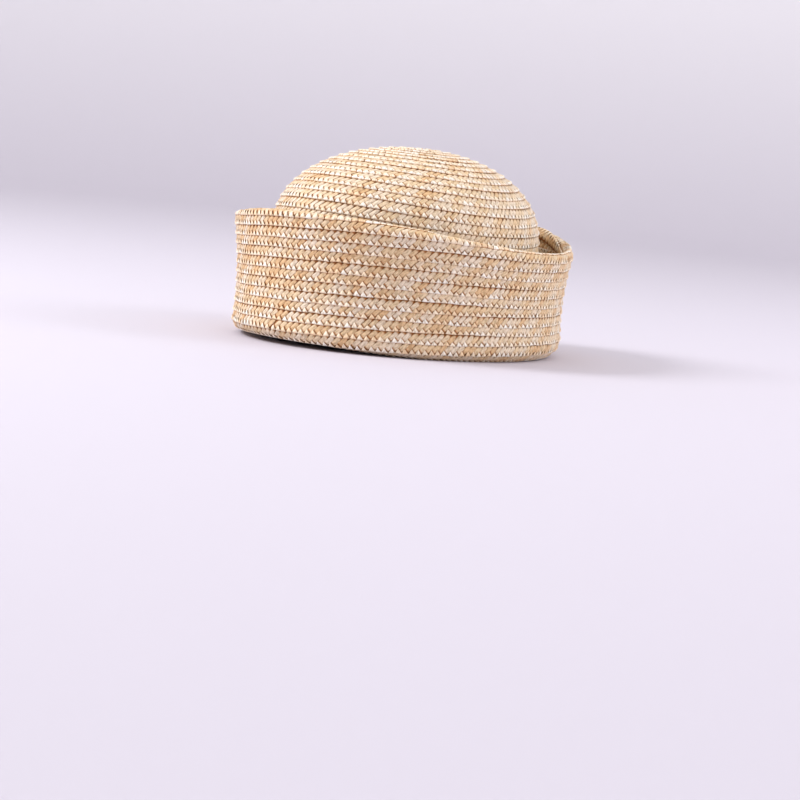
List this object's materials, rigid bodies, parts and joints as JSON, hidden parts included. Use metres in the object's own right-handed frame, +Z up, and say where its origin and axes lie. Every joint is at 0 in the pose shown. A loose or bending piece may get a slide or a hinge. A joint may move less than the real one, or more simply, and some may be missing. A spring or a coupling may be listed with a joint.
{
  "type": "sun hat",
  "caption": "Natural plaited straw sun hat with a round crown and a deep brim turned up all round, with a rolled rim.",
  "frame": {"origin": "middle of the hat's footprint, on the surface that the fold of its brim rests on", "axes": "+Z up, -Y towards the hat's front, +X towards the wearer's left"},
  "size_m": [0.2272, 0.2512, 0.1358],
  "materials": {
    "straw": "natural plaited wheat straw, satin"
  },
  "bodies": {
    "root": {"crown": "straw", "brim": "straw"}
  },
  "joints": []
}
